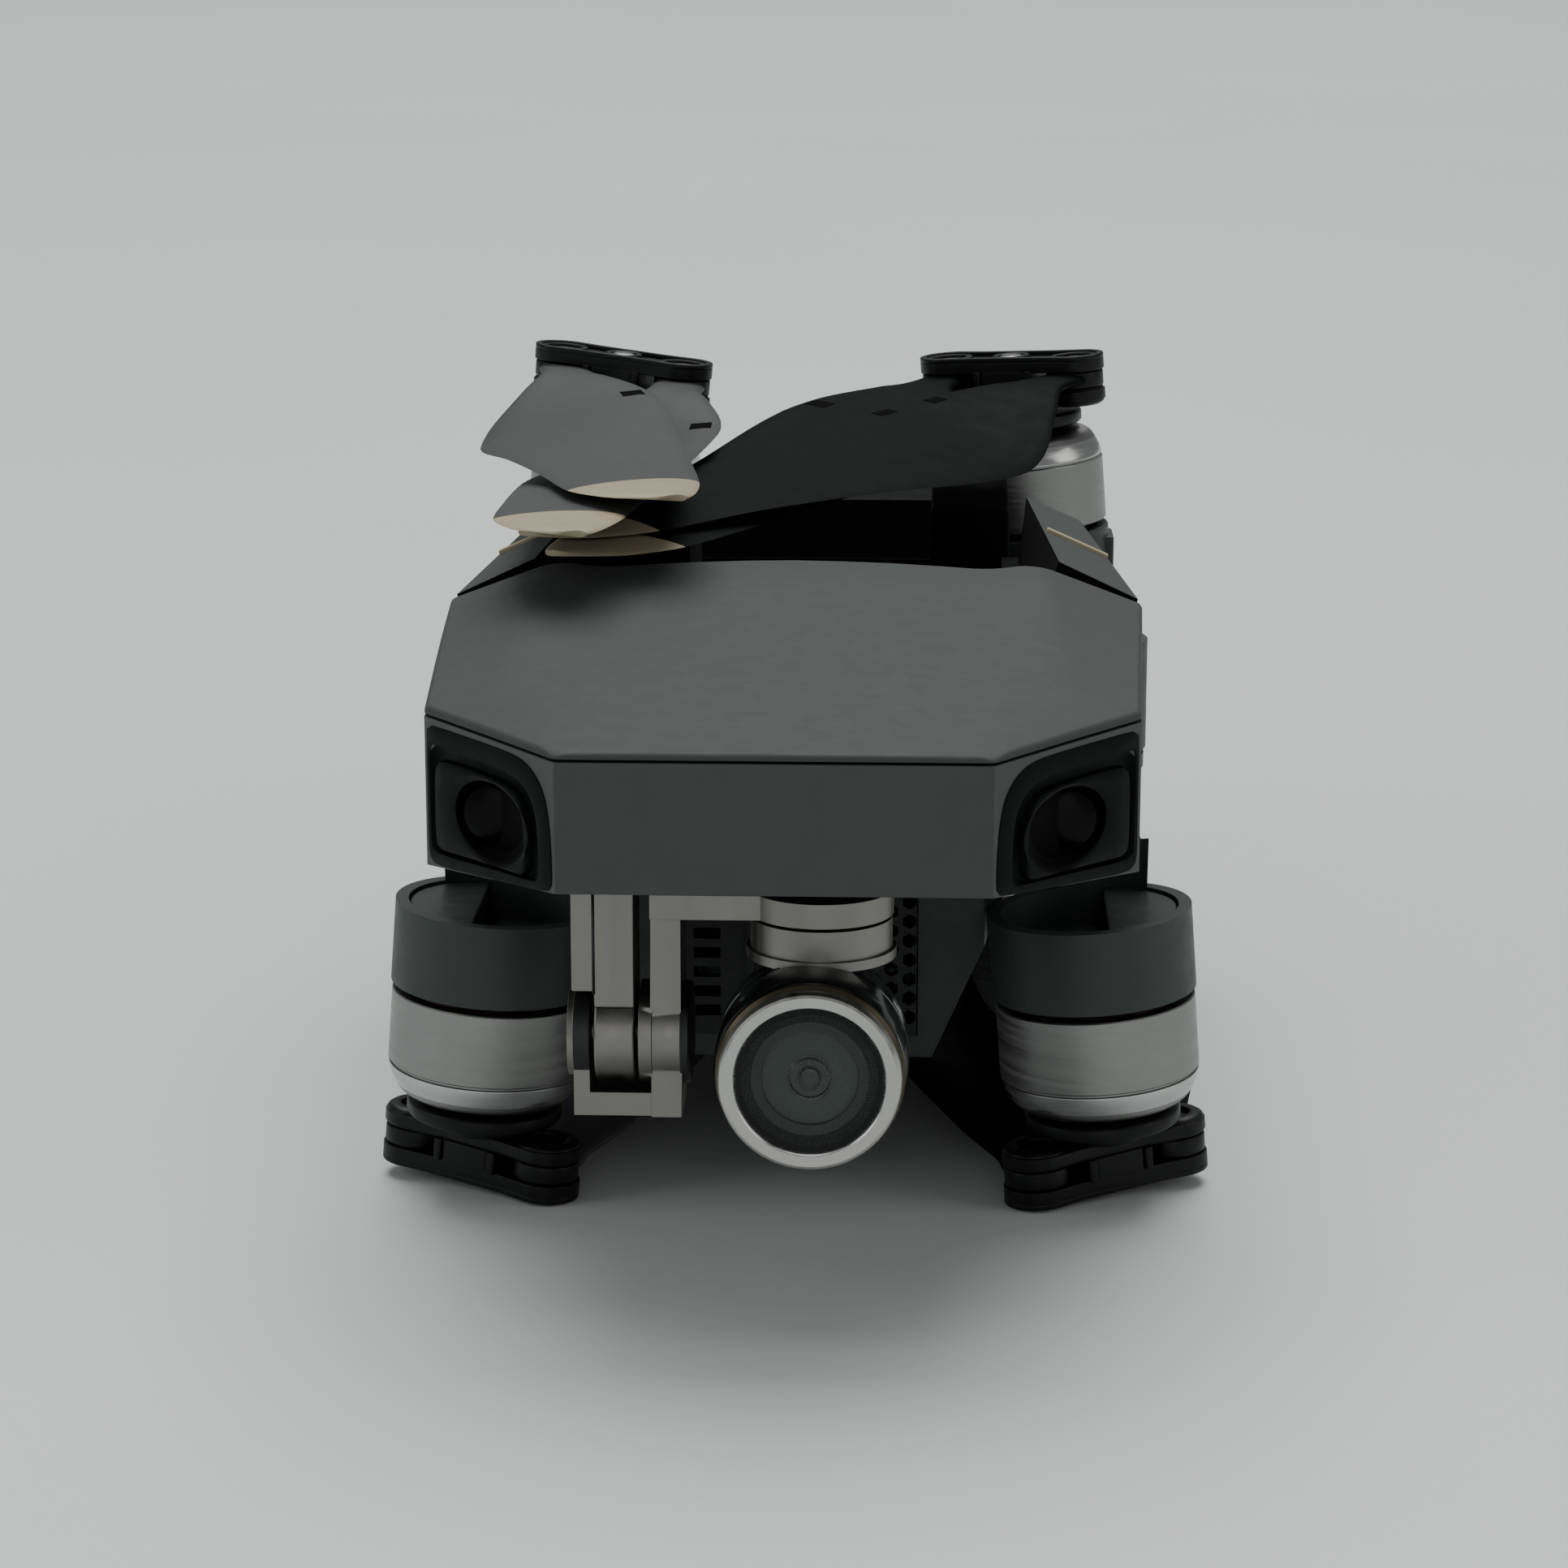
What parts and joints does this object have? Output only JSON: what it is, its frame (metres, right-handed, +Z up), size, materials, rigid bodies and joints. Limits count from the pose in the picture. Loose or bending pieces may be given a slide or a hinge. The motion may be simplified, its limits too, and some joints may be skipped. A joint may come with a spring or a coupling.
{
  "type": "quadcopter drone",
  "caption": "Folding camera quadcopter with its arms and propellers folded, battery bay open, and a tilting, panning and rolling camera gimbal under the nose.",
  "frame": {"origin": "centre of the bounding box in plan, on the plane the folded aircraft stands on", "axes": "+Z up; +Y towards the tail, so the nose and camera face -Y; +X is the viewer's right when facing the camera"},
  "size_m": [0.0904, 0.198, 0.0801],
  "materials": {
    "shell_grey": "fine texture, satin",
    "fascia_grey": "fine texture, satin",
    "arm_grey": "fine texture, satin",
    "hull_grey": "fine texture",
    "black_plastic": "matte",
    "gloss_black": "polished",
    "hub_black": "satin black",
    "bell_silver": "turned, satin",
    "gimbal_silver": "bead blasted, anodised",
    "gimbal_black": "matte black",
    "blade_grey": "fine texture",
    "lens_glass": "coated",
    "lens_silver": "turned, satin",
    "steel": "brushed",
    "screw_black": "black oxide",
    "rubber_black": "matte",
    "contact_gold": "plated",
    "board_green": "solder mask",
    "stator_copper": "enamelled wire",
    "led_grey": "frosted",
    "led_red": "smoked red"
  },
  "bodies": {
    "airframe": {"nose_cover": "shell_grey", "front_fascia": "fascia_grey", "mid_frame": "shell_grey", "sensor_bezels": "gloss_black", "sensor_lenses": "lens_glass", "lower_hull": "hull_grey", "battery_bay": "black_plastic", "battery_contacts": "contact_gold", "bay_vent_grille": "black_plastic", "belly_sensors": "gloss_black", "main_board": "board_green", "heat_sink": "gimbal_black", "arm_hinge_pins": "steel", "body_screws": "screw_black", "tail_light": "led_red", "damper_plate": "gimbal_black", "damper_balls": "rubber_black", "tail_feet": "rubber_black", "gimbal_bracket": "gimbal_silver", "gimbal_pitch_motor": "gimbal_silver"},
    "cooling_fan": {"cooling_fan": "black_plastic"},
    "mode_switch": {"mode_switch": "black_plastic"},
    "link_button": {"link_button": "black_plastic"},
    "usb_cover": {"usb_cover": "hull_grey"},
    "front_arm_left": {"front_arm_left": "arm_grey", "front_leg_left": "arm_grey", "front_led_left": "led_grey", "front_stator_left": "stator_copper"},
    "rear_arm_left": {"rear_arm_left": "arm_grey", "rear_led_left": "led_grey", "rear_stator_left": "stator_copper"},
    "front_bell_left": {"front_bell_left": "bell_silver"},
    "front_hub_left": {"front_hub_left": "hub_black"},
    "front_blade_a_left": {"front_blade_a_left": "blade_grey"},
    "front_blade_b_left": {"front_blade_b_left": "blade_grey"},
    "rear_bell_left": {"rear_bell_left": "bell_silver"},
    "rear_hub_left": {"rear_hub_left": "hub_black"},
    "rear_blade_a_left": {"rear_blade_a_left": "blade_grey"},
    "rear_blade_b_left": {"rear_blade_b_left": "blade_grey"},
    "front_arm_right": {"front_arm_right": "arm_grey", "front_leg_right": "arm_grey", "front_led_right": "led_grey", "front_stator_right": "stator_copper"},
    "rear_arm_right": {"rear_arm_right": "arm_grey", "rear_led_right": "led_grey", "rear_stator_right": "stator_copper"},
    "front_bell_right": {"front_bell_right": "bell_silver"},
    "front_hub_right": {"front_hub_right": "hub_black"},
    "front_blade_a_right": {"front_blade_a_right": "blade_grey"},
    "front_blade_b_right": {"front_blade_b_right": "blade_grey"},
    "rear_bell_right": {"rear_bell_right": "bell_silver"},
    "rear_hub_right": {"rear_hub_right": "hub_black"},
    "rear_blade_a_right": {"rear_blade_a_right": "blade_grey"},
    "rear_blade_b_right": {"rear_blade_b_right": "blade_grey"},
    "gimbal_pitch": {"gimbal_pitch_arm": "gimbal_silver"},
    "gimbal_yaw": {"gimbal_yaw_yoke": "gimbal_silver", "gimbal_roll_motor": "gimbal_silver"},
    "camera": {"camera_housing": "gloss_black", "lens_ring": "lens_silver", "lens_glass": "lens_glass"}
  },
  "joints": [
    {"name": "fan_spin", "type": "hinge", "parent": "airframe", "child": "cooling_fan", "pos_m": [0, 0.008, 0.0179], "axis": [0, 0, 1], "continuous": true},
    {"name": "mode_switch_slide", "type": "slide", "parent": "airframe", "child": "mode_switch", "axis": [0, 1, 0], "range_m": [0, 0.0042]},
    {"name": "link_button_press", "type": "slide", "parent": "airframe", "child": "link_button", "axis": [-1, 0, 0], "range_m": [0, 0.0008], "stiffness_N_per_m": 400},
    {"name": "usb_cover_swing", "type": "hinge", "parent": "airframe", "child": "usb_cover", "pos_m": [0.0183, 0.034, 0.0212], "axis": [0, 1, 0], "range_deg": [0, 80]},
    {"name": "front_arm_left_fold", "type": "hinge", "parent": "airframe", "child": "front_arm_left", "pos_m": [-0.031, -0.032, 0.05], "axis": [0, 0, 1], "range_deg": [0, 112]},
    {"name": "rear_arm_left_fold", "type": "hinge", "parent": "airframe", "child": "rear_arm_left", "pos_m": [-0.026, 0.076, 0.026], "axis": [0.866, 0.5, 0], "range_deg": [0, 180]},
    {"name": "front_arm_right_fold", "type": "hinge", "parent": "airframe", "child": "front_arm_right", "pos_m": [0.031, -0.032, 0.05], "axis": [0, 0, -1], "range_deg": [0, 112]},
    {"name": "rear_arm_right_fold", "type": "hinge", "parent": "airframe", "child": "rear_arm_right", "pos_m": [0.026, 0.076, 0.026], "axis": [0.866, -0.5, 0], "range_deg": [0, 180]},
    {"name": "front_motor_left_spin", "type": "hinge", "parent": "front_arm_left", "child": "front_bell_left", "pos_m": [-0.0265, 0.042, 0.0575], "axis": [0.0785, 0, 0.9969], "continuous": true},
    {"name": "front_prop_left_turn", "type": "hinge", "parent": "front_arm_left", "child": "front_hub_left", "pos_m": [-0.0265, 0.042, 0.0575], "axis": [0.0785, 0, 0.9969], "range_deg": [-90, 2]},
    {"name": "front_blade_a_left_fold", "type": "hinge", "parent": "front_hub_left", "child": "front_blade_a_left", "pos_m": [-0.03279, 0.04541, 0.0768], "axis": [0.0785, 0, 0.9969], "range_deg": [-124, 2]},
    {"name": "front_blade_b_left_fold", "type": "hinge", "parent": "front_hub_left", "child": "front_blade_b_left", "pos_m": [-0.01727, 0.03859, 0.07558], "axis": [0.0785, 0, 0.9969], "range_deg": [-2, 1]},
    {"name": "front_motor_right_spin", "type": "hinge", "parent": "front_arm_right", "child": "front_bell_right", "pos_m": [0.0258, 0.042, 0.0575], "axis": [-0.0785, 0, 0.9969], "continuous": true},
    {"name": "front_prop_right_turn", "type": "hinge", "parent": "front_arm_right", "child": "front_hub_right", "pos_m": [0.0258, 0.042, 0.0575], "axis": [-0.0785, 0, 0.9969], "range_deg": [-1.5, 90]},
    {"name": "front_blade_a_right_fold", "type": "hinge", "parent": "front_hub_right", "child": "front_blade_a_right", "pos_m": [0.03209, 0.03859, 0.0768], "axis": [-0.0785, 0, 0.9969], "range_deg": [0, 104]},
    {"name": "front_blade_b_right_fold", "type": "hinge", "parent": "front_hub_right", "child": "front_blade_b_right", "pos_m": [0.01657, 0.04541, 0.07558], "axis": [-0.0785, 0, 0.9969], "range_deg": [-1.5, 0]},
    {"name": "rear_motor_left_spin", "type": "hinge", "parent": "rear_arm_left", "child": "rear_bell_left", "pos_m": [-0.0324, -0.05, 0.02261], "axis": [-0.0785, 0, -0.9969], "continuous": true},
    {"name": "rear_prop_left_turn", "type": "hinge", "parent": "rear_arm_left", "child": "rear_hub_left", "pos_m": [-0.0324, -0.05, 0.02261], "axis": [-0.0785, 0, -0.9969], "range_deg": [-3, 10]},
    {"name": "rear_blade_a_left_fold", "type": "hinge", "parent": "rear_hub_left", "child": "rear_blade_a_left", "pos_m": [-0.04129, -0.04589, 0.0045], "axis": [-0.0785, 0, -0.9969], "range_deg": [-3, 0]},
    {"name": "rear_blade_b_left_fold", "type": "hinge", "parent": "rear_hub_left", "child": "rear_blade_b_left", "pos_m": [-0.02645, -0.05411, 0.00333], "axis": [-0.0785, 0, -0.9969], "range_deg": [0, 10]},
    {"name": "rear_motor_right_spin", "type": "hinge", "parent": "rear_arm_right", "child": "rear_bell_right", "pos_m": [0.0324, -0.05, 0.02261], "axis": [0.0785, 0, -0.9969], "continuous": true},
    {"name": "rear_prop_right_turn", "type": "hinge", "parent": "rear_arm_right", "child": "rear_hub_right", "pos_m": [0.0324, -0.05, 0.02261], "axis": [0.0785, 0, -0.9969], "range_deg": [-10, 3]},
    {"name": "rear_blade_a_right_fold", "type": "hinge", "parent": "rear_hub_right", "child": "rear_blade_a_right", "pos_m": [0.04129, -0.04589, 0.0045], "axis": [0.0785, 0, -0.9969], "range_deg": [0, 3]},
    {"name": "rear_blade_b_right_fold", "type": "hinge", "parent": "rear_hub_right", "child": "rear_blade_b_right", "pos_m": [0.02645, -0.05411, 0.00333], "axis": [0.0785, 0, -0.9969], "range_deg": [-10, 0]},
    {"name": "gimbal_tilt", "type": "hinge", "parent": "airframe", "child": "gimbal_pitch", "pos_m": [0, -0.083, 0.0275], "axis": [1, 0, 0], "range_deg": [-30, 90]},
    {"name": "gimbal_pan", "type": "hinge", "parent": "gimbal_pitch", "child": "gimbal_yaw", "pos_m": [0.0041, -0.084, 0.04], "axis": [0, 0, 1], "range_deg": [-20, 20]},
    {"name": "gimbal_roll", "type": "hinge", "parent": "gimbal_yaw", "child": "camera", "pos_m": [0.0034, -0.084, 0.0273], "axis": [0, 1, 0], "range_deg": [-30, 90]}
  ]
}
